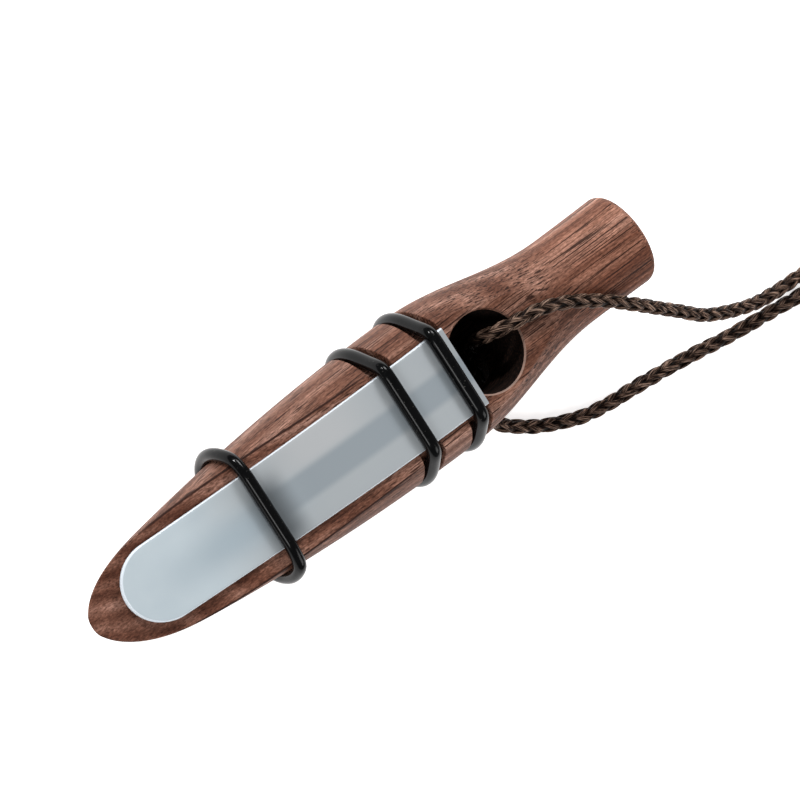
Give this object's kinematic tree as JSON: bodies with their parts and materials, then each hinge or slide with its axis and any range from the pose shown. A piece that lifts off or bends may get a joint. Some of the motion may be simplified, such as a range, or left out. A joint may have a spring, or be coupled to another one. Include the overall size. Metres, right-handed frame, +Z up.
{
  "type": "deer call",
  "caption": "Turned wooden open-reed deer call: curved reed bed with a plastic reed held by rubber rings, a sliding tuning ring, a sound hole and a braided lanyard with its neck loop coiled.",
  "frame": {"origin": "on the table under the middle of the call, lanyard left out", "axes": "+X along the call's axis from the rounded tip to the barrel end, +Z up out of the reed bed, +Y to the side away from the lanyard"},
  "size_m": [0.206, 0.061, 0.0263],
  "materials": {
    "walnut": "satin oil finish, open pores along the axis",
    "milky_plastic": "frosted translucent sheet with polished bevelled edges",
    "black_rubber": "smooth moulded O-ring",
    "braided_cord": "braided filament cord, dark brown with lighter strands",
    "tie_wrap": "black hook-and-loop strip"
  },
  "bodies": {
    "call": {"body": "walnut", "middle_clamp_ring": "black_rubber", "rear_clamp_ring": "black_rubber", "lanyard_upper_strand": "braided_cord", "lanyard_lower_strand": "braided_cord", "lanyard_knot": "braided_cord", "lanyard_coil": "braided_cord", "coil_tie": "tie_wrap"},
    "reed": {"reed": "milky_plastic"},
    "tuning_ring": {"tuning_ring": "black_rubber"}
  },
  "joints": [
    {"name": "tuning_ring_slide", "type": "slide", "parent": "call", "child": "tuning_ring", "axis": [0.9984, 0, 0.0559], "range_m": [-0.006, 0]},
    {"name": "reed_slide", "type": "slide", "parent": "call", "child": "reed", "axis": [0.9965, 0, 0.0838], "range_m": [-0.0012, 0.0012]}
  ]
}
